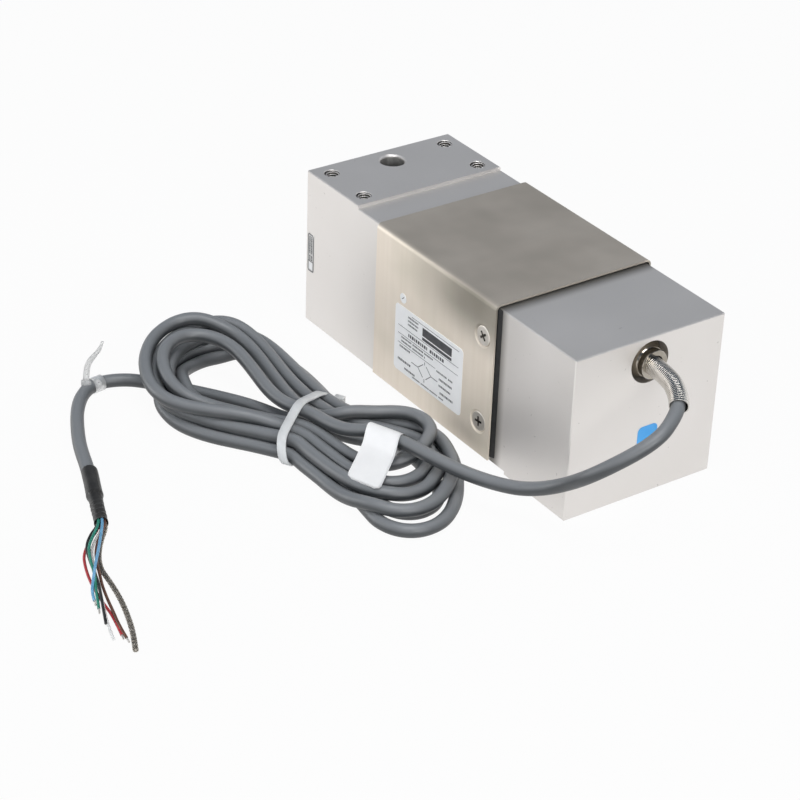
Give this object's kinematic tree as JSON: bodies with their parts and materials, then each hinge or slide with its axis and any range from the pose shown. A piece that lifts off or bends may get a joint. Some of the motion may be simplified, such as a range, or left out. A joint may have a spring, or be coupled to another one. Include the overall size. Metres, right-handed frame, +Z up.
{
  "type": "single point load cell",
  "caption": "Block load cell with stepped load and base pads, a gauge window under a folded sheet cover, and a spring-guarded cable tied in a hank with bare core ends.",
  "frame": {"origin": "centre of the block's footprint, on the plane of its base pad", "axes": "+X from the live end to the fixed end, where the cable leaves; +Z up, from the base pad to the load pad"},
  "size_m": [0.2419, 0.2653, 0.075],
  "materials": {
    "block": "satin anodised",
    "cover": "brushed",
    "screws": "satin",
    "gauge": "film",
    "board": "solder mask",
    "resistor": "satin",
    "wire": "bare",
    "inner_wire": "satin",
    "nickel": "nickel plated",
    "seal": "matte",
    "guard": "bright drawn wire",
    "jacket": "satin",
    "tie": "nylon",
    "paper": "paper",
    "clear_tie": "clear nylon",
    "sleeve": "satin",
    "core_brown": "satin",
    "core_blue": "satin",
    "core_green": "satin",
    "core_black": "satin",
    "core_red": "satin",
    "core_white": "satin",
    "braid": "tinned",
    "label": "film",
    "end_label": "film"
  },
  "bodies": {
    "root": {"spring_element": "block", "sheet_cover": "cover", "cover_screws": "screws", "gauge_lower_live": "gauge", "gauge_upper_live": "gauge", "gauge_lower_fixed": "gauge", "gauge_upper_fixed": "gauge", "terminal_board": "board", "trim_resistors": "resistor", "gauge_leads": "wire", "inner_leads": "inner_wire", "gland_body": "nickel", "gland_seal": "seal", "gland_collar": "nickel", "spring_guard": "guard", "cable_lead": "jacket", "cable_hank": "jacket", "cable_tail": "jacket", "cable_tie": "tie", "flag_label": "paper", "tail_tie": "clear_tie", "heat_shrink": "sleeve", "core_brown": "core_brown", "core_blue": "core_blue", "core_green": "core_green", "core_black": "core_black", "core_red": "core_red", "core_white": "core_white", "shield_braid": "braid", "rating_label": "label", "dot_sticker": "label", "seal_sticker": "label", "end_sticker": "end_label"}
  },
  "joints": []
}
